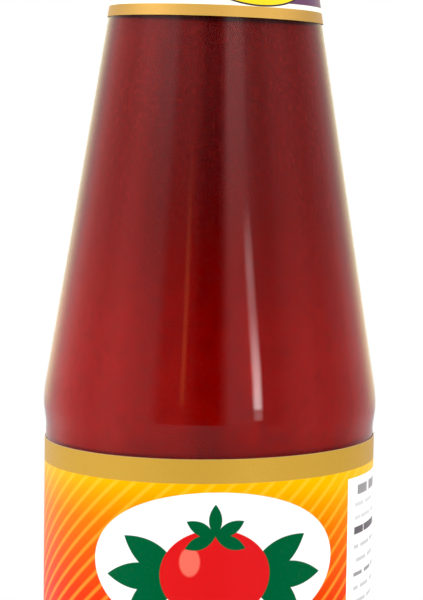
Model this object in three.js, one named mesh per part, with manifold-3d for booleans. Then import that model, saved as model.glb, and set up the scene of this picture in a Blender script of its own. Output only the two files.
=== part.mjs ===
// A glass ketchup bottle with a long tapered shoulder, a ribbed screw cap,
// a wrap-around body label and a neck label, full of ketchup.
// Millimetres, Z up: the bottle stands on z = 0, its axis is the Z axis and its labels face -Y.
import * as THREE from "three";
import { mergeVertices } from "three/addons/utils/BufferGeometryUtils.js";
import Module from "manifold-3d";

// Driving dimensions of the glass
const BODY_RADIUS = 29.25; // at the two ridges that guard the body label
const PANEL_DEPTH = 0.4; // how far the label panel lies inside the ridges
const PANEL_BOTTOM = 9.8;
const PANEL_TOP = 84.2;
const RIDGE_SLOPE = 3; // height of the slope between the panel and each ridge
const SHOULDER_HEIGHT = 89.5; // where the body turns into the taper
const TAPER = 0.165; // radius that the shoulder loses with each millimetre of height
const NECK_RADIUS = 13.4;
const BEAD_RADIUS = 14.9; // the ring under the cap
const BEAD_BOTTOM = 191.2;
const BEAD_TOP = 193.4;
const BEAD_SLOPE = 0.3;
const FINISH_RADIUS = 12.9; // the straight mouth inside the cap
const LIP_HEIGHT = 208.4;
const BORE_RADIUS = 10.2;
const PANEL_WALL = 2.5; // glass thickness behind the body label
const SHOULDER_WALL = 2.65; // glass thickness of the taper, measured level
const PUSH_UP_HEIGHT = 3.6; // rise of the hollow under the base
const PUSH_UP_RADIUS = 17;
const BEARING_RADIUS = 20.4; // inner edge of the flat ring that the bottle stands on
const FLOOR_CENTRE = 8; // top of the glass base on the axis
const FLOOR_EDGE = 5.4; // top of the glass base at the wall

// Fillets of the glass
const HEEL_FILLET = 5;
const PUSH_UP_FILLET = 5;
const BEARING_FILLET = 0.8;
const RIDGE_FILLET = 6;
const SHOULDER_FILLET = 18;
const NECK_FILLET = 10;
const BEAD_FILLET = 0.8;
const LIP_FILLET = 0.9;
const FLOOR_FILLET = 7;

// The ketchup stops inside the neck, behind the neck label.
const FILL_HEIGHT = 176;
const FILL_GAP = 0.15; // room between the ketchup and the glass

// Labels, each a closed band laid on the glass a little askew
const LABEL_GAP = 0.05;
const LABEL_THICKNESS = 0.15;
const BODY_LABEL = { bottom: 12, top: 82, skew: 1.0 };
const NECK_LABEL = { bottom: 154.3, top: 184, skew: -1.3 };

// Screw cap with a plain tamper band under its ribs
const CAP_BOTTOM = 193.9;
const CAP_TOP = 211;
const CAP_RADIUS = 15.2; // without the ribs
const CAP_CLEARANCE = 0.3; // to the glass inside it
const CAP_EDGE_FILLET = 1.6;
const BAND_TOP = 196.9;
const GROOVE_HEIGHT = 0.6;
const GROOVE_DEPTH = 0.5;
const DISH_RADIUS = 11.4; // shallow dish in the cap's top
const DISH_DEPTH = 0.4;
const RIB_COUNT = 60;
const RIB_RADIUS = 0.42;
const RIB_SIDES = 6;
const RIB_BOTTOM = 198;
const RIB_TOP = 209;

const SEGMENTS = 60; // round every turned piece
const STEP_TURN = THREE.MathUtils.degToRad(18); // the most that one step of a fillet turns

const panelRadius = BODY_RADIUS - PANEL_DEPTH;
const innerRadius = panelRadius - PANEL_WALL;
const shoulderRadius = (z) => BODY_RADIUS - TAPER * (z - SHOULDER_HEIGHT);
const heightOfShoulderRadius = (r) => SHOULDER_HEIGHT + (BODY_RADIUS - r) / TAPER;

const wasm = await Module();
wasm.setup();

// The points of a profile through corners [radius, height, fillet radius].
function roundedProfile(corners) {
  return corners.flatMap(([radius, height, fillet = 0], i) => {
    const corner = new THREE.Vector2(radius, height);
    if (!fillet) return [corner];
    const back = new THREE.Vector2(...corners[i - 1]).sub(corner).normalize();
    const ahead = new THREE.Vector2(...corners[i + 1]).sub(corner).normalize();
    const turn = Math.PI - Math.acos(back.dot(ahead));
    const reach = fillet * Math.tan(turn / 2);
    const start = corner.clone().addScaledVector(back, reach);
    const end = corner.clone().addScaledVector(ahead, reach);
    const bend = new THREE.QuadraticBezierCurve(start, corner, end);
    return bend.getPoints(Math.ceil(turn / STEP_TURN));
  });
}

// A solid of revolution about Z. Its profile has the material on its left.
function turned(points) {
  return new THREE.LatheGeometry(points, SEGMENTS).rotateX(Math.PI / 2);
}

// The inside of the bottle from the middle of its floor to the start of the mouth, drawn in by gap.
function cavity(gap) {
  return [
    [0, FLOOR_CENTRE + gap],
    [innerRadius - gap, FLOOR_EDGE + gap, FLOOR_FILLET],
    [innerRadius - gap, heightOfShoulderRadius(innerRadius + SHOULDER_WALL), SHOULDER_FILLET],
    [BORE_RADIUS - gap, heightOfShoulderRadius(BORE_RADIUS + SHOULDER_WALL), NECK_FILLET],
  ];
}

function bottleGeometry() {
  const outside = [
    [0, PUSH_UP_HEIGHT],
    [PUSH_UP_RADIUS, PUSH_UP_HEIGHT, PUSH_UP_FILLET],
    [BEARING_RADIUS, 0, BEARING_FILLET],
    [BODY_RADIUS, 0, HEEL_FILLET],
    [BODY_RADIUS, PANEL_BOTTOM - RIDGE_SLOPE, RIDGE_FILLET],
    [panelRadius, PANEL_BOTTOM, RIDGE_FILLET],
    [panelRadius, PANEL_TOP, RIDGE_FILLET],
    [BODY_RADIUS, PANEL_TOP + RIDGE_SLOPE, RIDGE_FILLET],
    [BODY_RADIUS, SHOULDER_HEIGHT, SHOULDER_FILLET],
    [NECK_RADIUS, heightOfShoulderRadius(NECK_RADIUS), NECK_FILLET],
    [NECK_RADIUS, BEAD_BOTTOM],
    [BEAD_RADIUS, BEAD_BOTTOM + BEAD_SLOPE, BEAD_FILLET],
    [BEAD_RADIUS, BEAD_TOP - BEAD_SLOPE, BEAD_FILLET],
    [FINISH_RADIUS, BEAD_TOP],
    [FINISH_RADIUS, LIP_HEIGHT, LIP_FILLET],
    [BORE_RADIUS, LIP_HEIGHT, LIP_FILLET],
  ];
  return turned(roundedProfile([...outside, ...cavity(0).reverse()]));
}

function ketchupGeometry() {
  const wall = cavity(FILL_GAP).slice(0, -1);
  const levelRadius = shoulderRadius(FILL_HEIGHT) - SHOULDER_WALL - FILL_GAP;
  return turned(roundedProfile([...wall, [levelRadius, FILL_HEIGHT], [0, FILL_HEIGHT]]));
}

// A label band on glass whose radius at height z is surface(z). Heights rise by the skew towards +X,
// and radii follow the taper as they do.
function labelGeometry({ bottom, top, skew }, surface, taper) {
  const inner = (z) => new THREE.Vector2(surface(z) + LABEL_GAP, z);
  const outer = (z) => new THREE.Vector2(surface(z) + LABEL_GAP + LABEL_THICKNESS, z);
  const band = turned([inner(bottom), outer(bottom), outer(top), inner(top), inner(bottom)]);
  const position = band.getAttribute("position");
  const slope = Math.tan(THREE.MathUtils.degToRad(skew));
  for (let i = 0; i < position.count; i++) {
    const x = position.getX(i);
    const y = position.getY(i);
    const rise = x * slope;
    const shrink = 1 - (taper * rise) / Math.hypot(x, y);
    position.setXYZ(i, x * shrink, y * shrink, position.getZ(i) + rise);
  }
  return band;
}

// A closed geometry as a solid for joining.
function solidOf(geometry) {
  geometry.deleteAttribute("normal");
  geometry.deleteAttribute("uv");
  const merged = mergeVertices(geometry);
  return new wasm.Manifold(
    new wasm.Mesh({
      numProp: 3,
      vertProperties: merged.getAttribute("position").array,
      triVerts: new Uint32Array(merged.index.array),
    }),
  );
}

function geometryOf(solid) {
  const mesh = solid.getMesh();
  const geometry = new THREE.BufferGeometry();
  geometry.setAttribute("position", new THREE.BufferAttribute(mesh.vertProperties, 3));
  geometry.setIndex(new THREE.BufferAttribute(mesh.triVerts, 1));
  geometry.computeVertexNormals();
  return geometry;
}

function capGeometry() {
  const hollowRadius = FINISH_RADIUS + CAP_CLEARANCE;
  const ceiling = LIP_HEIGHT + CAP_CLEARANCE;
  const core = turned(
    roundedProfile([
      [0, ceiling],
      [hollowRadius, ceiling],
      [hollowRadius, CAP_BOTTOM],
      [CAP_RADIUS, CAP_BOTTOM],
      [CAP_RADIUS, BAND_TOP],
      [CAP_RADIUS - GROOVE_DEPTH, BAND_TOP],
      [CAP_RADIUS - GROOVE_DEPTH, BAND_TOP + GROOVE_HEIGHT],
      [CAP_RADIUS, BAND_TOP + GROOVE_HEIGHT],
      [CAP_RADIUS, CAP_TOP, CAP_EDGE_FILLET],
      [DISH_RADIUS, CAP_TOP],
      [DISH_RADIUS - DISH_DEPTH, CAP_TOP - DISH_DEPTH],
      [0, CAP_TOP - DISH_DEPTH],
    ]),
  );
  let cap = solidOf(core);
  for (let i = 0; i < RIB_COUNT; i++) {
    const rib = new THREE.CylinderGeometry(RIB_RADIUS, RIB_RADIUS, RIB_TOP - RIB_BOTTOM, RIB_SIDES);
    rib.rotateX(Math.PI / 2);
    rib.translate(CAP_RADIUS, 0, (RIB_TOP + RIB_BOTTOM) / 2);
    rib.rotateZ(((i + 0.5) / RIB_COUNT) * 2 * Math.PI);
    cap = cap.add(solidOf(rib));
  }
  return geometryOf(cap);
}

function part(name, geometry, finish) {
  const mesh = new THREE.Mesh(geometry, new THREE.MeshStandardMaterial(finish));
  mesh.name = name;
  return mesh;
}

const CLEAR_GLASS = { color: 0xdfe8e4, roughness: 0.04, metalness: 0, transparent: true, opacity: 0.3 };
const KETCHUP = { color: 0x8c1414, roughness: 0.45, metalness: 0 };
const ORANGE_PRINT = { color: 0xf7931e, roughness: 0.4, metalness: 0 };
const PURPLE_PRINT = { color: 0x5b3a6e, roughness: 0.4, metalness: 0 };
const WHITE_PLASTIC = { color: 0xf2f1ec, roughness: 0.35, metalness: 0 };

const bottle = new THREE.Group();
bottle.add(
  part("glass_bottle", bottleGeometry(), CLEAR_GLASS),
  part("ketchup", ketchupGeometry(), KETCHUP),
  part("body_label", labelGeometry(BODY_LABEL, () => panelRadius, 0), ORANGE_PRINT),
  part("neck_label", labelGeometry(NECK_LABEL, shoulderRadius, TAPER), PURPLE_PRINT),
  part("screw_cap", capGeometry(), WHITE_PLASTIC),
);

export default bottle;
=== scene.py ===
"""A full glass ketchup bottle with a printed body label, a neck label and a ribbed screw cap."""

import math
from collections import namedtuple

import bpy
import numpy as np
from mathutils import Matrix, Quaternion, Vector


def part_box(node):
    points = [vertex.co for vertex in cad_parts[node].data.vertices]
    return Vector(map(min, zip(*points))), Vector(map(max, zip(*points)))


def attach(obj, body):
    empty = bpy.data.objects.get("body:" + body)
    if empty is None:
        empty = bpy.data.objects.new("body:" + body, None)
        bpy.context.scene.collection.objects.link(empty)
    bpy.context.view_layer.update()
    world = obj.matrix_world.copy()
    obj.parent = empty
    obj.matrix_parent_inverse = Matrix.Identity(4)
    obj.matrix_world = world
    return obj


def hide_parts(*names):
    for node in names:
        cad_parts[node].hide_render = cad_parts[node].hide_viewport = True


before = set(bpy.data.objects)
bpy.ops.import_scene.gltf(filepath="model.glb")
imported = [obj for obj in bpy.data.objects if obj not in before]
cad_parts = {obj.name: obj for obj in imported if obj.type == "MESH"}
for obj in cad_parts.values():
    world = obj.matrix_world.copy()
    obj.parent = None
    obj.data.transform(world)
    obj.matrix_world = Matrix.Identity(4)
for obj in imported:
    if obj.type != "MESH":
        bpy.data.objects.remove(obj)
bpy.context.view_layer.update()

# Lengths are in millimetres. Angles are in degrees from the front, positive towards +X.
MM = 0.001


def node_top(node):
    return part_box(node)[1].z / MM


def node_bottom(node):
    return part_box(node)[0].z / MM


def ink(red, green, blue):
    """A colour as a screen shows it, from 0 to 255, in the linear numbers that shaders take."""
    levels = [value / 255 for value in (red, green, blue)]
    return (*(v / 12.92 if v <= 0.04045 else ((v + 0.055) / 1.055) ** 2.4 for v in levels), 1)


# Glass
BODY_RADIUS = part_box("glass_bottle")[1].x / MM
LIP_HEIGHT = node_top("glass_bottle")
PANEL_DEPTH = 0.4  # how far the label panel lies inside the ridges
PANEL_RADIUS = BODY_RADIUS - PANEL_DEPTH
PANEL_BOTTOM = 9.8
PANEL_TOP = 84.2
PANEL_WALL = 2.5  # glass thickness behind the body label
INNER_RADIUS = PANEL_RADIUS - PANEL_WALL
RIDGE_SLOPE = 3
SHOULDER_HEIGHT = 89.5
SHOULDER_WALL = 2.65
TAPER = 0.165  # radius that the shoulder loses with each millimetre of height
NECK_RADIUS = 13.4
BEAD_RADIUS = 14.9
BEAD_BOTTOM = 191.2
BEAD_TOP = 193.4
BEAD_SLOPE = 0.3
FINISH_RADIUS = 12.9
BORE_RADIUS = 10.2
PUSH_UP_HEIGHT = 3.6
PUSH_UP_RADIUS = 17
BEARING_RADIUS = 20.4
FLOOR_CENTRE = 8
FLOOR_EDGE = 5.4

# Fillets of the glass
PUSH_UP_FILLET = 5
BEARING_FILLET = 0.8
HEEL_FILLET = 5
RIDGE_FILLET = 6
SHOULDER_FILLET = 18
NECK_FILLET = 10
BEAD_FILLET = 0.8
BEAD_ROOT_FILLET = 0.3
LIP_FILLET = 0.9
FLOOR_FILLET = 7

# Marks that moulding leaves on the glass
WAVE_DEPTH = 0.02
WAVES = (  # times round the glass, height for each radian, phase and strength
    (3, 9, 1.3, 1),
    (5, -6, 0.4, 1),
    (2, -14, 2.9, 1),
    (7, 11, 5.1, 0.6),
)
WAVE_START = 4  # height above the heel over which the waves set in
SEAMS = (-90, 90)
SEAM_HEIGHT = 0.04
SEAM_WIDTH = 0.25
SEAM_STEPS = (0.2, 0.4, 0.8)  # from a seam to the extra columns on each side of it
KNURLS = 72  # small grooves across the bearing ring
KNURL_DEPTH = 0.25
KNURL_START = (20.6, 21.2)  # radii over which the grooves set in
KNURL_END = (23.6, 24.4)  # radii over which they run out
KNURL_TOP = 0.2  # height that the bearing ring stays below

# Fineness
GLASS_COLUMNS = 4 * KNURLS
GLASS_ROW = 3  # longest step up the glass
CAP_COLUMNS = 600
CAP_ROW = 1.5
FILLET_TURN = 8  # the most that one step of a fillet turns
FILLET_STEPS = 3  # the fewest steps of a fillet
SHARP_ANGLE = 35  # edges above this stay sharp
FLOOR_SIDES = 96

# Ketchup
FILL_HEIGHT = node_top("ketchup")
FILL_REACH = 0.08  # how far the ketchup reaches into the glass, so that no gap shows
MENISCUS_DEPTH = 0.8
MENISCUS_WIDTH = 2.2
MENISCUS_RIM = 0.3
MENISCUS_FILLET = 2.5

# Labels
PAPER = 0.15
PAPER_GAP = 0.07
RIPPLE = 0.012  # unevenness of the paper
RIPPLE_WAVES = ((9, 7), (4, -12))  # times round the bottle and height for each radian
LAP = 7  # angle that a label's end lies over its start
LAP_RAMP = 3
LAP_GAP = 0.02
LABEL_ROWS = 14
LABEL_COLUMNS = 420
BODY_LABEL_BOTTOM = 12
BODY_LABEL_TOP = 82
BODY_SKEW = 1.0
BODY_SEAM = 145
NECK_LABEL_BOTTOM = 154.3
NECK_LABEL_TOP = 184
NECK_LABEL_HEIGHT = NECK_LABEL_TOP - NECK_LABEL_BOTTOM
NECK_SKEW = -1.3
NECK_SEAM = 160

# Places on a label's map, whose sides are 1 long
LABEL_MAP = "OFBake"
PRINT_SHARE = 0.9  # height of the printed face
LABEL_STRIPS = (  # lower edge, upper edge and number of rows
    (0, PRINT_SHARE, LABEL_ROWS - 1),  # printed face
    (0.985, 0.99, 1),  # upper edge of the paper
    (0.92, 0.97, LABEL_ROWS - 1),  # back
    (0.975, 0.98, 1),  # lower edge of the paper
)
END_STRIP = (0.994, 0.999)  # lower and upper edge of the paper's two ends
END_PLACES = ((0, 0.4), (0.5, 0.9))  # left and right edge of each end

# Print on the body label, across from the front and up from its lower edge
INK_EDGE = 0.08  # softness of a printed edge
UPPER_BAND_EDGE = (65.9, 66.05)  # heights over which the upper gold band sets in
LOWER_BAND_EDGE = (2.9, 3.05)  # heights over which the lower one runs out
FIELD_TILT = 0.04
STRIPE_ANGLE = 42
STRIPE_SPACING = 2.25
STRIPE_SHARE = 0.28
STRIPE_EDGE = 0.2
STRIPE_STRENGTH = 0.3
BANNER_BOTTOM = 21
BANNER_TOP = 33
BANNER_SIDES = (-24.4, 26.4)
BANNER_EDGE = 1.2
LOZENGE_SPACING = 4
LOZENGE_HALF = (1, 1.6)  # half of its width and height
LOZENGE_EDGE = 0.05
OVAL_MIDDLE = 1.25
OVAL_HEIGHT = 52.4
OVAL_HALF = (21.65, 12.15)
OVAL_EDGE = 0.012
SIDE_LEAVES = ((5.5, 58, 12), (6, 92, 13), (6, 124, 10.5))  # distance from the middle, angle, length
SIDE_LEAF_HEIGHT = 50.5
SIDE_LEAF_WIDTH = 4.6
FRUIT_HEIGHT = 50.8
FRUIT_HALF = (9.2, 7.6)
FRUIT_EDGE = 0.02
SHINE_SHIFT = -4.2
SHINE_HEIGHT = 53
SHINE_HALF = (1.7, 2.4)
SHINE_EDGE = 0.25
CROWN_ANGLES = (-112, -62, 0, 62, 112)
CROWN_HEIGHT = 57.2
CROWN_LEAF = (5.4, 2.2)  # length and width
INFO_PANELS = ((27.6, 62), (-84, -51))
INFO_HEIGHTS = (3.5, 64.5)
INFO_MARGINS = (2.4, 1.6)
INFO_HEADINGS = ((62.2, 1.7, 0.8), (59.7, 0.7, 0.4), (57.4, 0.7, 0.4), (55.2, 1.3, 1))  # as in text_bars
ROWS = 19  # of small print under the headings
ROW_TOP = 52.4
ROW_SPACING = 2.4
ROW_THICKNESS = 0.7
ROW_STRENGTHS = (0.5, 0.5, 0.8)  # in turn
ROW_EDGE = 0.1
ROW_PHASE = 2.4  # shifts the words of a row against the next one
WORD_WAVES = (2.3, 1.1)
WORD_GAPS = (-1.4, -1.1)

# Print on the neck label
NECK_BAND = 1.9  # height of each gold band
NECK_STRIP = 2.7  # height of each gold band with the cream strip beside it
NECK_OVAL_CENTRE = (8.15, 7.2)
NECK_OVAL_HALF = (10.4, 5.0)
NECK_OVAL_LINE_HALF = (10.7, 5.3)

# Cap
CAP_RADIUS = 15.2
CAP_BOTTOM = node_bottom("screw_cap")
CAP_TOP = node_top("screw_cap")
CAP_CLEARANCE = 0.3
CAP_CEILING_FILLET = 0.4
CAP_MOUTH_FILLET = 0.3
CAP_FOOT_FILLET = 0.4
CAP_EDGE_FILLET = 1.6
BAND_TOP = 196.9
BAND_FILLET = 0.15
GROOVE_HEIGHT = 0.6
GROOVE_DEPTH = 0.5
GROOVE_FILLET = 0.1
BRIDGES = 20  # thin webs that hold the tamper band
BRIDGE_EDGE = (0.9, 0.95)  # cosines between which a web's side rises
BRIDGE_INSET = 0.12
DISH_RADIUS = 11.4
DISH_DEPTH = 0.4
DISH_FILLET = 0.3
DIMPLE_RADIUS = 1.2
DIMPLE_SLOPE = 0.2
DIMPLE_DEPTH = 0.15
DIMPLE_FILLET = 0.2
RIBS = 60
RIB_HEIGHT = 0.4
RIB_BOTTOM = 198
RIB_TOP = 209
RIB_START = 0.6  # height over which a rib rises at its lower end
RIB_END = 1
RIB_WIDENING = 0.25
RIB_ROUNDING = 0.8
NEARLY = 0.01  # leeway in telling the cap's outside and groove

# Colours
GLASS_TINT = (0.985, 1, 0.99, 1)
# Painted light and shade: the sauce's colour is lighter low down and darker up high, standing in for the
# light that falls more on its lower part.
KETCHUP_PAINTED_SHADES = (  # by height
    (96, ink(162, 22, 20)),
    (104, ink(150, 20, 19)),
    (112, ink(129, 20, 19)),
    (121, ink(100, 20, 20)),
    (130, ink(87, 21, 22)),
    (142, ink(81, 22, 23)),
)
KETCHUP_CLOUD = ink(100, 18, 21)
KETCHUP_GRAIN = ink(72, 14, 24)
KETCHUP_PULP = ink(170, 36, 30)
PAPER_LIGHT = ink(214, 206, 186)
PAPER_DARK = ink(200, 190, 168)
FIBRE_BROWN = ink(120, 90, 60)
FIELD_SHADES = (  # by height on the body label
    (4, ink(182, 14, 16)),
    (34, ink(206, 28, 15)),
    (45, ink(225, 58, 12)),
    (50, ink(229, 79, 10)),
    (54, ink(232, 96, 6)),
    (58, ink(235, 116, 2)),
    (62, ink(238, 150, 0)),
    (65, ink(242, 174, 0)),
    (72, ink(247, 201, 4)),
)
STRIPE_YELLOW = ink(255, 214, 70)
GOLD = ink(209, 165, 70)
NECK_GOLD = ink(190, 148, 72)
CREAM = ink(255, 251, 232)
WHITE = ink(254, 254, 252)
PURPLE = ink(98, 62, 92)
LEAF_GREEN = ink(18, 92, 52)
TOMATO_RED = ink(214, 36, 32)
SHINE_PINK = ink(244, 110, 92)
GREY_INK = ink(92, 86, 92)
OVAL_YELLOW = ink(238, 210, 14)
OVAL_LINE = ink(60, 46, 40)
CAP_LIGHT = ink(184, 183, 179)
CAP_DARK = ink(174, 172, 168)
FLOOR_LIGHT = ink(168, 168, 168)
FLOOR_DARK = ink(164, 164, 163)
BACKDROP_GREY = ink(234, 234, 234)
BACKDROP_WHITE = (1, 1, 1, 1)

# Light from the room's walls
# A stretch of azimuth or elevation is (from, to, softness) and a rise is (from, to).
# A slant is what the light gains towards +X.
ROOM_LEVEL = 0.74
ROOM_SLANT = -0.08
ROOM_SIDES = (82, 122, 12)
ROOM_SIDES_DIM = 0.25
UPPER_RISE = (13, 21)  # elevations at which the upper part of the walls begins
UPPER_GAIN = 0.3
UPPER_SLANT = -0.22
TABLE_RISE = (-10.2, -9.4)  # the dark parts in front and the screen end at this below
DARK_GAP = (-14, 10, 6)
DARK_GAP_DIM = 0.46
LEFT_OF_GAP = (-38, -14, 5)
LEFT_DIM = 0.35
RIGHT_OF_GAP = (36, 52, 5)
RIGHT_DIM = 0.15

# Light of the same walls on what is behind glass
FRONT = (-60, 60, 15)
FRONT_DIM = 0.28
INNER_GAP_RISE = (-14, -4)
INNER_GAP_DIM = 0.75
FLANK = (68, 140, 14)
FLANK_LEVEL = 0.36
FLANK_SLANT = -0.12
FLANK_UPPER_DIM = 0.6
PATCH = (15, 28, 3)
PATCH_HEIGHT = (13.3, 16.7, 1.5)
PATCH_LEVEL = 0.45

# Lamps: a pale screen, a strip beside it, a warm strip on the left and a ring above
SCREEN = (12, 30, 3)
SCREEN_LEVEL = 0.12
SCREEN_RISE = (13.5, 21)
SCREEN_GAIN = 0.35
STRIP = (30.1, 35.6, 1.6)
STRIP_CORE = (5, 11.2, 1.5)
STRIP_CORE_LEVEL = 6.4
STRIP_HEIGHT = (-5, 15, 1.2)
STRIP_LEVEL = 1.9
STRIP_BEND = 10.6  # elevation above which the strip leans to the left
STRIP_LEAN = 0.9
WARM_STRIP = (-20.2, -17.4, 1.1)
WARM_HEIGHT = (8, 16, 3)
WARM_COLOUR = (1.1, 0.4, 0.1)
BEHIND_GLASS_DIM = 0.75  # how much less the screen and strips light what is behind glass
RING = (25.5, 41, 2)
RING_LEVEL = 3.3
RING_SIDES = (60, 130, 15)
RING_SIDES_LEVEL = 5.65
RING_SIDES_SLANT = -1.36
ZENITH_RISE = (48, 56)
ZENITH_DIM = 0.85

# Tints of the light at the back, a warm gleam there that the rims mirror, and the backdrop
BACK_MIDDLE = 8
BACK_RISE = (105, 155)
BACK_TINT = (0.42, 0.26, 0)
GLEAM_RISE = (130, 155)
GLEAM_HEIGHT = (-7, 24, 3)
GLEAM_COLOUR = (0.55, 0.48, 0.16)
CLEAR_FALL = (110, 135)  # clear glass shows the grey backdrop up to this azimuth
WHITE_RISE = (140, 160)  # the backdrop is white from this azimuth

# Camera, from the curves of the label edges and the outline in the photograph
CAMERA_DISTANCE = 360
CAMERA_HEIGHT = 137.8
AIM = (0.07, 0, 105.56)
LENS = 123.1
ROLL = 0.79

FLOOR_RADIUS = 205
FLOOR_DROP = 0.2
DARKS = 0.02  # light below this comes out black


# Shapes


def shoulder_radius(z):
    return BODY_RADIUS - TAPER * (z - SHOULDER_HEIGHT)


def shoulder_height(radius):
    return SHOULDER_HEIGHT + (BODY_RADIUS - radius) / TAPER


def panel_radius(z):
    return np.full_like(z, PANEL_RADIUS)


def smooth(low, high, value):
    """0 below low, 1 above high and an even curve between them."""
    t = np.clip((np.asarray(value, float) - low) / (high - low), 0, 1)
    return t * t * (3 - 2 * t)


def even_angles(count):
    return np.arange(count) * 360 / count


def rounded(corners):
    """Points of a profile through corners (radius, height, fillet)."""
    points = []
    for i, (radius, height, fillet) in enumerate(corners):
        corner = Vector((radius, height))
        if not fillet:
            points.append(corner)
            continue
        back = (Vector(corners[i - 1][:2]) - corner).normalized()
        ahead = (Vector(corners[i + 1][:2]) - corner).normalized()
        turn = math.pi - back.angle(ahead)
        start = corner + back * fillet * math.tan(turn / 2)
        end = corner + ahead * fillet * math.tan(turn / 2)
        steps = max(FILLET_STEPS, math.ceil(math.degrees(turn) / FILLET_TURN))
        for t in np.linspace(0, 1, steps + 1):
            points.append(start * (1 - t) ** 2 + corner * 2 * t * (1 - t) + end * t**2)
    return points


def refined(points, longest):
    """The same profile with no stretch longer than that."""
    fine = [points[0]]
    for point in points[1:]:
        start = fine[-1]
        steps = max(1, math.ceil((point - start).length / longest))
        fine += [start.lerp(point, k / steps) for k in range(1, steps + 1)]
    return fine


def round_points(angle, radius, height):
    """Points about the Z axis, with angle 0 at the front."""
    return np.stack([radius * np.sin(angle), -radius * np.cos(angle), height], axis=-1)


def add_mesh(name, points, faces, materials):
    """A smooth piece from points in millimetres."""
    mesh = bpy.data.meshes.new(name)
    mesh.from_pydata((points * MM).tolist(), [], faces)
    for material in materials:
        mesh.materials.append(material)
    mesh.shade_smooth()
    mesh.set_sharp_from_angle(angle=math.radians(SHARP_ANGLE))
    piece = bpy.data.objects.new(name, mesh)
    bpy.context.collection.objects.link(piece)
    return piece


def turned(name, profile, angles, material, relief=None):
    """A piece turned about Z. Its profile runs from axis to axis with the material on its left.
    relief moves the points: it takes and gives radius and height for each profile row and angle."""
    angle = np.radians(angles)[None, :]
    radius, height = np.array(profile).T[:, :, None] + np.zeros_like(angle)
    if relief:
        radius, height = relief(angle, radius, height)
    points = round_points(angle, radius, height)
    rows, columns = radius.shape
    index = np.arange(rows * columns).reshape(rows, columns)
    index[0] = index[0, 0]
    index[-1] = index[-1, 0]
    below = index[:-1]
    above = index[1:]
    corners = [below, np.roll(below, -1, axis=1), np.roll(above, -1, axis=1), above]
    used = np.unique(index)
    places = np.zeros(rows * columns, int)
    places[used] = np.arange(len(used))
    quads = places[np.stack(corners, axis=-1).reshape(-1, 4)].tolist()
    faces = [list(dict.fromkeys(quad)) for quad in quads]
    return add_mesh(name, points.reshape(-1, 3)[used], faces, [material])


def cavity(reach):
    """Corners of the bottle's inside, from the middle of its floor to its mouth, moved outwards by reach."""
    return [
        (0, FLOOR_CENTRE - reach, 0),
        (INNER_RADIUS + reach, FLOOR_EDGE - reach, FLOOR_FILLET),
        (INNER_RADIUS + reach, shoulder_height(INNER_RADIUS + SHOULDER_WALL), SHOULDER_FILLET),
        (BORE_RADIUS + reach, shoulder_height(BORE_RADIUS + SHOULDER_WALL), NECK_FILLET),
    ]


def glass_outside():
    """Corners of the bottle's outside, from the middle of its base to the inner edge of its lip."""
    return [
        (0, PUSH_UP_HEIGHT, 0),
        (PUSH_UP_RADIUS, PUSH_UP_HEIGHT, PUSH_UP_FILLET),
        (BEARING_RADIUS, 0, BEARING_FILLET),
        (BODY_RADIUS, 0, HEEL_FILLET),
        (BODY_RADIUS, PANEL_BOTTOM - RIDGE_SLOPE, RIDGE_FILLET),
        (PANEL_RADIUS, PANEL_BOTTOM, RIDGE_FILLET),
        (PANEL_RADIUS, PANEL_TOP, RIDGE_FILLET),
        (BODY_RADIUS, PANEL_TOP + RIDGE_SLOPE, RIDGE_FILLET),
        (BODY_RADIUS, SHOULDER_HEIGHT, SHOULDER_FILLET),
        (NECK_RADIUS, shoulder_height(NECK_RADIUS), NECK_FILLET),
        (NECK_RADIUS, BEAD_BOTTOM, BEAD_ROOT_FILLET),
        (BEAD_RADIUS, BEAD_BOTTOM + BEAD_SLOPE, BEAD_FILLET),
        (BEAD_RADIUS, BEAD_TOP - BEAD_SLOPE, BEAD_FILLET),
        (FINISH_RADIUS, BEAD_TOP, BEAD_ROOT_FILLET),
        (FINISH_RADIUS, LIP_HEIGHT, LIP_FILLET),
        (BORE_RADIUS, LIP_HEIGHT, LIP_FILLET),
    ]


def glass_relief(outer_rows):
    """Slow waves, mould seams and a knurled bearing ring on the first rows of the glass."""

    def relief(angle, radius, height):
        outer = (np.arange(len(radius)) < outer_rows)[:, None]
        wave = np.zeros_like(radius)
        for times, rise, phase, strength in WAVES:
            wave += strength * np.sin(times * angle + height / rise + phase)
        seam = np.zeros_like(radius)
        for place in SEAMS:
            away = (angle - math.radians(place) + math.pi) % (2 * math.pi) - math.pi
            seam += np.exp(-((away * radius / SEAM_WIDTH) ** 2))
        swell = WAVE_DEPTH * wave / len(WAVES) + SEAM_HEIGHT * seam
        wall = outer * smooth(HEEL_FILLET, HEEL_FILLET + WAVE_START, height)
        ring = smooth(*KNURL_START, radius) * (1 - smooth(*KNURL_END, radius)) * (height < KNURL_TOP)
        groove = outer * ring * KNURL_DEPTH * (0.5 + 0.5 * np.cos(KNURLS * angle))
        return radius + wall * swell, height + groove

    return relief


def make_glass(material):
    extra = [place % 360 + side * step for place in SEAMS for step in SEAM_STEPS for side in (-1, 1)]
    angles = np.sort(np.concatenate([even_angles(GLASS_COLUMNS), extra]))
    profile = refined(rounded(glass_outside() + cavity(0)[::-1]), GLASS_ROW)
    lip_row = int(np.argmax([point.y for point in profile]))
    return turned("bottle_glass", profile, angles, material, glass_relief(lip_row))


def make_ketchup(material):
    level_radius = shoulder_radius(FILL_HEIGHT) - SHOULDER_WALL + FILL_REACH
    corners = cavity(FILL_REACH)[:-1] + [
        (level_radius, FILL_HEIGHT, 0),
        (level_radius - MENISCUS_RIM, FILL_HEIGHT, 0),
        (level_radius - MENISCUS_WIDTH, FILL_HEIGHT - MENISCUS_DEPTH, MENISCUS_FILLET),
        (0, FILL_HEIGHT - MENISCUS_DEPTH, 0),
    ]
    profile = refined(rounded(corners), GLASS_ROW)
    return turned("ketchup_fill", profile, even_angles(GLASS_COLUMNS), material)


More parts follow.
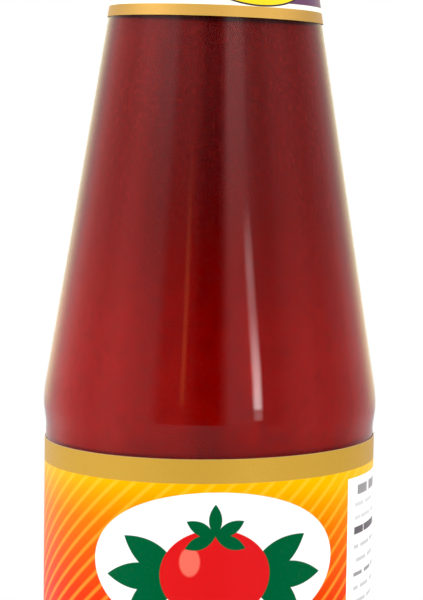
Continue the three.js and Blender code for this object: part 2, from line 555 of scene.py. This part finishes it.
def cells(left, right, low, high):
    """Corners of the cells of a map, in the order of a face's corners."""
    corners = [(left, low), (right, low), (right, high), (left, high)]
    return np.stack([np.stack(np.broadcast_arrays(*corner), axis=-1) for corner in corners], axis=-2)


def map_label(piece):
    """Prints the outer face only, and lays it out unrolled on the label's map. The other faces take the
    strips above it."""
    across = np.linspace(0, 1, LABEL_COLUMNS)
    strips = [np.linspace(low, high, rows + 1) for low, high, rows in LABEL_STRIPS]
    low = np.concatenate([strip[:-1] for strip in strips])
    high = np.concatenate([strip[1:] for strip in strips])
    places = [cells(across[:-1, None], across[1:, None], low, high)]
    for (left, right), step in zip(END_PLACES, (1, -1)):
        along = np.linspace(left, right, LABEL_ROWS)
        places.append(cells(along[:-1], along[1:], *END_STRIP)[:, ::step])
    layer = piece.data.uv_layers.new(name=LABEL_MAP)
    layer.data.foreach_set("uv", np.concatenate([place.ravel() for place in places]))
    bare = np.arange(2 * LABEL_ROWS) >= LABEL_ROWS - 1
    slots = np.concatenate([np.tile(bare, LABEL_COLUMNS - 1), np.ones(2 * (LABEL_ROWS - 1))])
    piece.data.polygons.foreach_set("material_index", slots.astype(np.int32))


def make_label(name, bottom, top, surface, skew, seam, print_material, paper_material):
    """A paper strip wound once round the glass, its end lapped over its start."""
    degrees = np.linspace(seam - 360, seam + LAP, LABEL_COLUMNS)
    angle = np.radians(degrees)[:, None]
    share = np.linspace(0, 1, LABEL_ROWS)
    share = np.concatenate([share, share[::-1]])[None, :]
    outer = (np.arange(2 * LABEL_ROWS) < LABEL_ROWS)[None, :]
    flat_height = bottom + (top - bottom) * share
    rise = surface(flat_height) * np.sin(angle) * math.tan(math.radians(skew))
    height = flat_height + rise
    lift = (PAPER + LAP_GAP) * smooth(seam - LAP_RAMP, seam, degrees)[:, None]
    ripple = np.full_like(height, RIPPLE)
    for times, wave_rise in RIPPLE_WAVES:
        ripple *= np.sin(times * angle + height / wave_rise)
    radius = surface(height) + PAPER_GAP + lift + ripple + PAPER * outer
    points = round_points(angle, radius, height)
    columns, ring = radius.shape
    index = np.arange(columns * ring).reshape(columns, ring)
    following = np.roll(index, -1, axis=1)
    sides = np.stack([index[:-1], index[1:], following[1:], following[:-1]], axis=-1).reshape(-1, 4)
    ends = []
    for column, step in ((index[0], 1), (index[-1], -1)):
        for row in range(LABEL_ROWS - 1):
            quad = [column[row], column[row + 1], column[ring - 2 - row], column[ring - 1 - row]]
            ends.append([int(corner) for corner in quad[::step]])
    piece = add_mesh(name, points.reshape(-1, 3), sides.tolist() + ends, [print_material, paper_material])
    map_label(piece)
    return piece


def cap_relief(angle, radius, height):
    """Ribs on the cap's side, and webs across the groove over its tamper band."""
    outside = radius > CAP_RADIUS - GROOVE_DEPTH - NEARLY
    rising = smooth(RIB_BOTTOM, RIB_BOTTOM + RIB_START, height)
    grip = rising * (1 - smooth(RIB_TOP - RIB_END, RIB_TOP, height))
    rib = np.clip(RIB_WIDENING + np.cos(RIBS * angle), 0, 1) ** RIB_ROUNDING * RIB_HEIGHT
    from_groove = np.abs(height - BAND_TOP - GROOVE_HEIGHT / 2)
    in_groove = outside * (from_groove < GROOVE_HEIGHT / 2 + NEARLY)
    web = smooth(*BRIDGE_EDGE, np.cos(BRIDGES * angle))
    bridged = np.where(in_groove, radius + (CAP_RADIUS - BRIDGE_INSET - radius) * web, radius)
    return bridged + outside * grip * rib, height


def make_cap(material):
    hollow = FINISH_RADIUS + CAP_CLEARANCE
    ceiling = LIP_HEIGHT + CAP_CLEARANCE
    groove_radius = CAP_RADIUS - GROOVE_DEPTH
    dish = CAP_TOP - DISH_DEPTH
    corners = [
        (0, ceiling, 0),
        (hollow, ceiling, CAP_CEILING_FILLET),
        (hollow, CAP_BOTTOM, CAP_MOUTH_FILLET),
        (CAP_RADIUS, CAP_BOTTOM, CAP_FOOT_FILLET),
        (CAP_RADIUS, BAND_TOP, BAND_FILLET),
        (groove_radius, BAND_TOP, GROOVE_FILLET),
        (groove_radius, BAND_TOP + GROOVE_HEIGHT, GROOVE_FILLET),
        (CAP_RADIUS, BAND_TOP + GROOVE_HEIGHT, BAND_FILLET),
        (CAP_RADIUS, CAP_TOP, CAP_EDGE_FILLET),
        (DISH_RADIUS, CAP_TOP, DISH_FILLET),
        (DISH_RADIUS - DISH_DEPTH, dish, DISH_FILLET),
        (DIMPLE_RADIUS, dish, DIMPLE_FILLET),
        (DIMPLE_RADIUS - DIMPLE_SLOPE, dish - DIMPLE_DEPTH, DIMPLE_FILLET),
        (0, dish - DIMPLE_DEPTH, 0),
    ]
    profile = refined(rounded(corners), CAP_ROW)
    return turned("ribbed_cap", profile, even_angles(CAP_COLUMNS), material, cap_relief)


# Fields and nodes


def feed(tree, socket, value):
    """Sets a socket to a number or colour, or links it to a field or another socket."""
    if isinstance(value, Field):
        value = value.socket
    if isinstance(value, bpy.types.NodeSocket):
        tree.links.new(value, socket)
    else:
        socket.default_value = value


class Field:
    """A number that nodes work out at each point, written as plain arithmetic."""

    def __init__(self, tree, socket):
        self.tree = tree
        self.socket = socket

    def maths(self, operation, *others):
        node = self.tree.nodes.new("ShaderNodeMath")
        node.operation = operation
        for socket, value in zip(node.inputs, (self, *others)):
            feed(self.tree, socket, value)
        return Field(self.tree, node.outputs[0])

    def __add__(self, other):
        return self.maths("ADD", other)

    def __sub__(self, other):
        return self.maths("SUBTRACT", other)

    def __mul__(self, other):
        return self.maths("MULTIPLY", other)

    def __truediv__(self, other):
        return self.maths("DIVIDE", other)

    def __abs__(self):
        return self.maths("ABSOLUTE")

    def inverse(self):
        """1 where this is 0, and 0 where this is 1."""
        return (self * -1) + 1

    def smooth(self, low, high):
        """0 below low, 1 above high and an even curve between them."""
        node = self.tree.nodes.new("ShaderNodeMapRange")
        node.interpolation_type = "SMOOTHSTEP"
        for name, value in (("Value", self), ("From Min", low), ("From Max", high)):
            feed(self.tree, node.inputs[name], value)
        return Field(self.tree, node.outputs["Result"])

    def within(self, low, high, soft=INK_EDGE):
        """1 between low and high, with soft edges."""
        return self.smooth(low - soft, low + soft) * self.smooth(high - soft, high + soft).inverse()


def axis_fields(tree, source):
    """The three parts of a place or direction."""
    split = tree.nodes.new("ShaderNodeSeparateXYZ")
    tree.links.new(source, split.inputs[0])
    return [Field(tree, split.outputs[axis]) for axis in "XYZ"]


def mixed(tree, under, over, mask):
    """A colour that goes from under to over as the mask goes from 0 to 1."""
    node = tree.nodes.new("ShaderNodeMix")
    node.data_type = "RGBA"
    for socket, value in ((node.inputs[0], mask), (node.inputs[6], under), (node.inputs[7], over)):
        feed(tree, socket, value)
    return node.outputs[2]


def ramp(tree, value, stops):
    """A colour that follows a field through (place, colour) stops."""
    low = stops[0][0]
    high = stops[-1][0]
    node = tree.nodes.new("ShaderNodeValToRGB")
    feed(tree, node.inputs[0], (value - low) / (high - low))
    elements = node.color_ramp.elements
    for place, colour in stops[1:-1]:
        elements.new((place - low) / (high - low)).color = colour
    elements[0].color = stops[0][1]
    elements[len(stops) - 1].color = stops[-1][1]
    return node.outputs[0]


def noise(tree, scale, detail=2):
    """Noise in the piece's own space, with features of about 1 / scale metres."""
    coordinates = tree.nodes.new("ShaderNodeTexCoord")
    node = tree.nodes.new("ShaderNodeTexNoise")
    node.inputs["Scale"].default_value = scale
    node.inputs["Detail"].default_value = detail
    tree.links.new(coordinates.outputs["Object"], node.inputs["Vector"])
    return Field(tree, node.outputs[0])


def height_field(tree):
    """Height above the base, in millimetres."""
    coordinates = tree.nodes.new("ShaderNodeTexCoord")
    return axis_fields(tree, coordinates.outputs["Object"])[2] / MM


def new_material(name, **settings):
    """A material with one Principled shader, whose plain settings are given by name."""
    material = bpy.data.materials.new(name)
    material.use_nodes = True
    shader = material.node_tree.nodes["Principled BSDF"]
    for key, value in settings.items():
        shader.inputs[key.replace("_", " ")].default_value = value
    return material, material.node_tree, shader


def bumped(tree, shader, height, distance):
    """Gives the shader a fine relief of that depth in millimetres."""
    node = tree.nodes.new("ShaderNodeBump")
    node.inputs["Strength"].default_value = 1
    node.inputs["Distance"].default_value = distance * MM
    feed(tree, node.inputs["Height"], height)
    tree.links.new(node.outputs["Normal"], shader.inputs["Normal"])


# Materials


def glass_material():
    material, tree, shader = new_material(
        "clear_glass", Base_Color=GLASS_TINT, Transmission_Weight=1, IOR=1.5
    )
    smears = noise(tree, scale=900).smooth(0.55, 0.9)
    feed(tree, shader.inputs["Roughness"], smears * 0.03)
    return material


def ketchup_material():
    """Dark sauce that is lighter low down, which is painted light and shade: its colour darkens with height
    where less light falls. Also soft clouds, grain and flecks of pulp.
    """
    material, tree, shader = new_material(
        "ketchup_sauce", Roughness=0.12, IOR=1.74, Specular_IOR_Level=1, Specular_Tint=(1, 0.03, 0.02, 1)
    )
    # painted shade by height: darker up high and lighter low down, where more light falls
    painted_height_shade = ramp(tree, height_field(tree), KETCHUP_PAINTED_SHADES)
    cloud = noise(tree, scale=90, detail=3).smooth(0.35, 0.7)
    pulp = noise(tree, scale=1400).smooth(0.4, 0.75)
    grain = noise(tree, scale=700, detail=3).smooth(0.4, 0.7)
    clouded = mixed(tree, painted_height_shade, KETCHUP_CLOUD, cloud * 0.25)
    mottled = mixed(tree, clouded, KETCHUP_GRAIN, grain * 0.25)
    feed(tree, shader.inputs["Base Color"], mixed(tree, mottled, KETCHUP_PULP, pulp * 0.2))
    return material


def paper_material():
    material, tree, shader = new_material("label_paper", Roughness=0.75)
    fibre = noise(tree, scale=2500, detail=4)
    feed(tree, shader.inputs["Base Color"], mixed(tree, PAPER_LIGHT, PAPER_DARK, fibre))
    bumped(tree, shader, fibre, distance=0.02)
    return material


def printed(name, glass_radius, height, seam, colour_of):
    """Coated paper printed by colour_of, which takes the tree and the place on the unrolled label, in
    millimetres across from the front and up from its lower edge, and gives a colour and where it is gold."""
    material, tree, shader = new_material(name, Specular_IOR_Level=0.3, Specular_Tint=(0.5, 0.55, 0.9, 1))
    place = tree.nodes.new("ShaderNodeUVMap")
    place.uv_map = LABEL_MAP
    map_across, map_up, _ = axis_fields(tree, place.outputs[0])
    radius = glass_radius + PAPER_GAP + PAPER
    width = math.radians(360 + LAP) * radius
    start = math.radians(seam - 360) * radius
    across = map_across * width + start
    up = map_up * (height / PRINT_SHARE)
    colour, gold = colour_of(tree, across, up)
    fibre = noise(tree, scale=1800, detail=3)
    feed(tree, shader.inputs["Base Color"], mixed(tree, colour, FIBRE_BROWN, (fibre - 0.45) * 0.12))
    feed(tree, shader.inputs["Metallic"], gold * 0.45)
    feed(tree, shader.inputs["Roughness"], (fibre * 0.14) + (gold * 0.02) + 0.3)
    bumped(tree, shader, fibre, distance=0.012)
    return material


def cap_material():
    material, tree, shader = new_material("white_plastic", Specular_IOR_Level=0.2)
    speck = noise(tree, scale=300, detail=3)
    feed(tree, shader.inputs["Base Color"], mixed(tree, CAP_LIGHT, CAP_DARK, speck))
    feed(tree, shader.inputs["Roughness"], (speck * 0.2) + 0.28)
    bumped(tree, shader, noise(tree, scale=3000), distance=0.01)
    return material


def floor_material():
    material, tree, shader = new_material("pale_floor", Roughness=0.9, Specular_IOR_Level=0.1)
    feed(tree, shader.inputs["Base Color"], mixed(tree, FLOOR_LIGHT, FLOOR_DARK, noise(tree, scale=6)))
    return material


# Print


def ellipse(across, up, centre, half, soft=OVAL_EDGE):
    """1 inside an ellipse."""
    x = (across - centre[0]) / half[0]
    y = (up - centre[1]) / half[1]
    return ((x * x) + (y * y)).smooth(1 - soft, 1 + soft).inverse()


def leaf(across, up, base, angle, length, width):
    """1 inside a pointed leaf that grows from its base at that angle to the right of upright."""
    along_x = math.sin(math.radians(angle))
    along_y = math.cos(math.radians(angle))
    x = across - base[0]
    y = up - base[1]
    along = (x * along_x) + (y * along_y)
    aside = abs((x * along_y) - (y * along_x))
    middle = along / (length / 2) - 1
    edge = (middle * middle).inverse() * (width / 2)
    return (edge - aside).smooth(-INK_EDGE, INK_EDGE) * along.within(0, length)


def stripes(across, up):
    """1 on slanting lines that rise to the right."""
    slope = math.radians(STRIPE_ANGLE)
    offset = ((up * math.cos(slope)) - (across * math.sin(slope))) / STRIPE_SPACING
    wave = abs(offset.maths("FRACT") - 0.5) * 2
    return wave.smooth(STRIPE_SHARE - STRIPE_EDGE, STRIPE_SHARE + STRIPE_EDGE).inverse()


def text_bars(across, up, left, right, rows):
    """Short bars that stand for lines of small print, each row given as (height, thickness, strength)."""
    between_rows = ROW_TOP - ROW_SPACING / 2
    phase = ((up - between_rows) / ROW_SPACING).maths("FLOOR") * ROW_PHASE
    first, second = WORD_WAVES
    letters = ((across * first) + phase).maths("SINE") + ((across * second) - phase).maths("SINE")
    word = letters.smooth(*WORD_GAPS)
    bars = None
    for row, thickness, strength in rows:
        line = up.within(row - thickness / 2, row + thickness / 2, ROW_EDGE) * strength
        bars = line if bars is None else bars.maths("MAXIMUM", line)
    return bars * across.within(left, right) * word


def print_banner(tree, across, up, colour):
    """A purple banner with a row of lozenges. Gives the colour and where the banner's edges are."""
    inside = across.within(*BANNER_SIDES)
    banner = up.within(BANNER_BOTTOM, BANNER_TOP) * inside
    edged = up.within(BANNER_BOTTOM - BANNER_EDGE, BANNER_TOP + BANNER_EDGE) * inside
    colour = mixed(tree, colour, PURPLE, banner)
    from_middle = abs(up - (BANNER_BOTTOM + BANNER_TOP) / 2) / LOZENGE_HALF[1]
    aside = abs((across / LOZENGE_SPACING).maths("FRACT") - 0.5) * (LOZENGE_SPACING / LOZENGE_HALF[0])
    lozenge = (aside + from_middle).smooth(1 - LOZENGE_EDGE, 1 + LOZENGE_EDGE).inverse()
    return mixed(tree, colour, CREAM, lozenge * banner), edged * banner.inverse()


def print_oval(tree, across, up, colour):
    """A white oval with a tomato between leaves."""
    oval = ellipse(across, up, (OVAL_MIDDLE, OVAL_HEIGHT), OVAL_HALF)
    colour = mixed(tree, colour, WHITE, oval)
    for side in (-1, 1):
        for distance, angle, length in SIDE_LEAVES:
            base = (OVAL_MIDDLE + side * distance, SIDE_LEAF_HEIGHT)
            side_leaf = leaf(across, up, base, side * angle, length, SIDE_LEAF_WIDTH)
            colour = mixed(tree, colour, LEAF_GREEN, side_leaf * oval)
    fruit = ellipse(across, up, (OVAL_MIDDLE, FRUIT_HEIGHT), FRUIT_HALF, FRUIT_EDGE)
    colour = mixed(tree, colour, TOMATO_RED, fruit)
    shine = ellipse(across, up, (OVAL_MIDDLE + SHINE_SHIFT, SHINE_HEIGHT), SHINE_HALF, SHINE_EDGE)
    colour = mixed(tree, colour, SHINE_PINK, shine)
    for angle in CROWN_ANGLES:
        crown = leaf(across, up, (OVAL_MIDDLE, CROWN_HEIGHT), angle, *CROWN_LEAF)
        colour = mixed(tree, colour, LEAF_GREEN, crown)
    return colour


def print_panels(tree, across, up, colour):
    """White panels with rows of small print."""
    rows = list(INFO_HEADINGS)
    for k in range(ROWS):
        strength = ROW_STRENGTHS[k % len(ROW_STRENGTHS)]
        rows.append((ROW_TOP - ROW_SPACING * k, ROW_THICKNESS, strength))
    for left, right in INFO_PANELS:
        panel = across.within(left, right) * up.within(*INFO_HEIGHTS)
        colour = mixed(tree, colour, WHITE, panel)
        bars = text_bars(across, up, left + INFO_MARGINS[0], right - INFO_MARGINS[1], rows)
        colour = mixed(tree, colour, GREY_INK, bars)
    return colour


def body_print(tree, across, up):
    """Gold bands, a striped field from yellow down to red, an oval with a tomato, a banner and two panels."""
    field = ramp(tree, up + (across * FIELD_TILT), FIELD_SHADES)
    colour = mixed(tree, field, STRIPE_YELLOW, stripes(across, up) * STRIPE_STRENGTH)
    colour, edges = print_banner(tree, across, up, colour)
    colour = print_oval(tree, across, up, colour)
    colour = print_panels(tree, across, up, colour)
    bands = up.smooth(*UPPER_BAND_EDGE) + up.smooth(*LOWER_BAND_EDGE).inverse()
    gold = edges.maths("MAXIMUM", bands.maths("MINIMUM", 1))
    return mixed(tree, colour, GOLD, gold), gold


def neck_print(tree, across, up):
    """A purple field between cream strips and gold bands, with a bare yellow oval on the front."""
    colour = mixed(tree, CREAM, PURPLE, up.within(NECK_STRIP, NECK_LABEL_HEIGHT - NECK_STRIP))
    colour = mixed(tree, colour, OVAL_LINE, ellipse(across, up, NECK_OVAL_CENTRE, NECK_OVAL_LINE_HALF))
    colour = mixed(tree, colour, OVAL_YELLOW, ellipse(across, up, NECK_OVAL_CENTRE, NECK_OVAL_HALF))
    gold = up.within(NECK_BAND, NECK_LABEL_HEIGHT - NECK_BAND).inverse()
    return mixed(tree, colour, NECK_GOLD, gold), gold


# Pieces


def make_body_label(paper):
    height = BODY_LABEL_TOP - BODY_LABEL_BOTTOM
    material = printed("body_label_print", PANEL_RADIUS, height, BODY_SEAM, body_print)
    return make_label(
        "body_paper_label", BODY_LABEL_BOTTOM, BODY_LABEL_TOP, panel_radius,
        BODY_SKEW, BODY_SEAM, material, paper,
    )


def make_neck_label(paper):
    radius = shoulder_radius(NECK_LABEL_BOTTOM)
    material = printed("neck_label_print", radius, NECK_LABEL_HEIGHT, NECK_SEAM, neck_print)
    return make_label(
        "neck_paper_label", NECK_LABEL_BOTTOM, NECK_LABEL_TOP, shoulder_radius,
        NECK_SKEW, NECK_SEAM, material, paper,
    )


label_paper = paper_material()
pieces = [
    (make_glass(glass_material()), "glass_bottle", "glass"),
    (make_ketchup(ketchup_material()), "ketchup", "ketchup"),
    (make_body_label(label_paper), "body_label", "body_label_paper"),
    (make_neck_label(label_paper), "neck_label", "neck_label_paper"),
    (make_cap(cap_material()), "screw_cap", "cap_plastic"),
]
for piece, node, slot in pieces:
    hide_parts(node)
    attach(piece, "root")


# Stage


def make_floor():
    angles = np.radians(even_angles(FLOOR_SIDES))
    rim = np.stack([np.sin(angles), np.cos(angles), 0 * angles], axis=-1) * FLOOR_RADIUS
    floor = add_mesh("floor", rim - (0, 0, FLOOR_DROP), [list(range(len(rim)))[::-1]], [floor_material()])


# A direction's share along X, its azimuth and elevation, and 1 where the light goes through glass
Sky = namedtuple("Sky", "x azimuth elevation through")


def sky_of(tree, rays):
    direction = tree.nodes.new("ShaderNodeTexCoord")
    x, y, z = axis_fields(tree, direction.outputs["Generated"])
    return Sky(
        x,
        x.maths("ARCTAN2", y * -1).maths("DEGREES"),
        z.maths("ARCSINE").maths("DEGREES"),
        Field(tree, rays.outputs["Is Transmission Ray"]),
    )


def room_light(sky):
    """Walls all round, a little dimmer at the sides."""
    dim = abs(sky.azimuth).within(*ROOM_SIDES) * ROOM_SIDES_DIM
    return ((sky.x * ROOM_SLANT) + ROOM_LEVEL) * dim.inverse()


def outer_light(sky):
    """The walls as surfaces mirror and gather them: brighter above, with a dark gap in front."""
    gain = sky.elevation.smooth(*UPPER_RISE) * ((sky.x * UPPER_SLANT) + UPPER_GAIN)
    beside = (sky.azimuth.within(*LEFT_OF_GAP) * LEFT_DIM) + (sky.azimuth.within(*RIGHT_OF_GAP) * RIGHT_DIM)
    dark = (sky.azimuth.within(*DARK_GAP) * DARK_GAP_DIM) + beside
    return room_light(sky) * (gain + 1) * (dark * sky.elevation.smooth(*TABLE_RISE)).inverse()


def inner_light(sky):
    """The walls as they light what is behind glass: dimmer in front and brighter at the sides."""
    front = sky.azimuth.within(*FRONT) * FRONT_DIM
    gap = sky.azimuth.within(*DARK_GAP) * sky.elevation.smooth(*INNER_GAP_RISE) * INNER_GAP_DIM
    flank = abs(sky.azimuth).within(*FLANK) * ((sky.x * FLANK_SLANT) + FLANK_LEVEL)
    flank = flank * (sky.elevation.smooth(*UPPER_RISE) * FLANK_UPPER_DIM).inverse()
    patch = sky.azimuth.within(*PATCH) * sky.elevation.within(*PATCH_HEIGHT) * PATCH_LEVEL
    return (room_light(sky) * front.inverse() * gap.inverse()) + flank + patch


def screen_light(sky):
    """A pale screen to the right of the gap."""
    level = (sky.elevation.smooth(*SCREEN_RISE) * SCREEN_GAIN) + SCREEN_LEVEL
    return sky.azimuth.within(*SCREEN) * level * sky.elevation.smooth(*TABLE_RISE)


def strip_light(sky):
    """A narrow bright strip to the right of the screen, with a brighter core."""
    core = sky.elevation.within(*STRIP_CORE) * STRIP_CORE_LEVEL
    level = core + (sky.elevation.within(*STRIP_HEIGHT) * STRIP_LEVEL)
    lean = (sky.elevation.maths("MAXIMUM", STRIP_BEND) - STRIP_BEND) * STRIP_LEAN
    return (sky.azimuth + lean).within(*STRIP) * level


def ring_light(sky):
    """A bright ring above, brightest at the sides."""
    sides = abs(sky.azimuth).within(*RING_SIDES) * ((sky.x * RING_SIDES_SLANT) + RING_SIDES_LEVEL)
    return sky.elevation.within(*RING) * (sides + RING_LEVEL)


def studio_colour(tree, sky):
    """The light from each direction, warm at the back and in a strip on the left."""
    dimmed = (sky.through * BEHIND_GLASS_DIM).inverse()
    outer = outer_light(sky)
    walls = outer + ((inner_light(sky) - outer) * sky.through)
    level = walls + ((screen_light(sky) + strip_light(sky)) * dimmed) + ring_light(sky)
    level = level * (sky.elevation.smooth(*ZENITH_RISE) * ZENITH_DIM).inverse()
    back = abs(sky.azimuth - BACK_MIDDLE).smooth(*BACK_RISE) * sky.through
    gleam = abs(sky.azimuth).smooth(*GLEAM_RISE) * sky.elevation.within(*GLEAM_HEIGHT) * sky.through.inverse()
    warm = sky.azimuth.within(*WARM_STRIP) * sky.elevation.within(*WARM_HEIGHT) * dimmed
    colour = tree.nodes.new("ShaderNodeCombineColor")
    channels = zip(colour.inputs, BACK_TINT, WARM_COLOUR, GLEAM_COLOUR)
    for socket, back_tint, warm_share, gleam_share in channels:
        tinted = level * ((back * back_tint) + 1)
        feed(tree, socket, tinted + (warm * warm_share) + (gleam * gleam_share))
    return colour.outputs[0]


def make_light():
    """A studio whose walls and lamps light the bottle, with a plain backdrop that shows beside it and through
    clear glass."""
    world = bpy.data.worlds.new("studio")
    world.use_nodes = True
    bpy.context.scene.world = world
    tree = world.node_tree
    rays = tree.nodes.new("ShaderNodeLightPath")
    sky = sky_of(tree, rays)
    bounces = Field(tree, rays.outputs["Diffuse Depth"]) + Field(tree, rays.outputs["Glossy Depth"])
    aside = abs(sky.azimuth).smooth(*CLEAR_FALL).inverse()
    through_clear_glass = sky.through * bounces.smooth(0, 1).inverse() * aside
    lit = mixed(tree, studio_colour(tree, sky), BACKDROP_GREY, through_clear_glass)
    backdrop = mixed(tree, BACKDROP_GREY, BACKDROP_WHITE, abs(sky.azimuth).smooth(*WHITE_RISE))
    seen = mixed(tree, lit, backdrop, rays.outputs["Is Camera Ray"])
    feed(tree, tree.nodes["Background"].inputs["Color"], seen)


def make_camera():
    data = bpy.data.cameras.new("camera")
    data.lens = LENS
    camera = bpy.data.objects.new("camera", data)
    bpy.context.collection.objects.link(camera)
    camera.location = Vector((AIM[0], -CAMERA_DISTANCE, CAMERA_HEIGHT)) * MM
    towards = Vector(AIM) * MM - camera.location
    turn = towards.to_track_quat("-Z", "Y") @ Quaternion((0, 0, 1), math.radians(ROLL))
    camera.rotation_mode = "QUATERNION"
    camera.rotation_quaternion = turn
    bpy.context.scene.camera = camera


def make_tone():
    """Plain colours with slightly deeper darks, as a small camera gives."""
    view = bpy.context.scene.view_settings
    view.view_transform = "Standard"
    view.use_curve_mapping = True
    view.curve_mapping.black_level = (DARKS, DARKS, DARKS)


make_floor()
make_light()
make_camera()
make_tone()
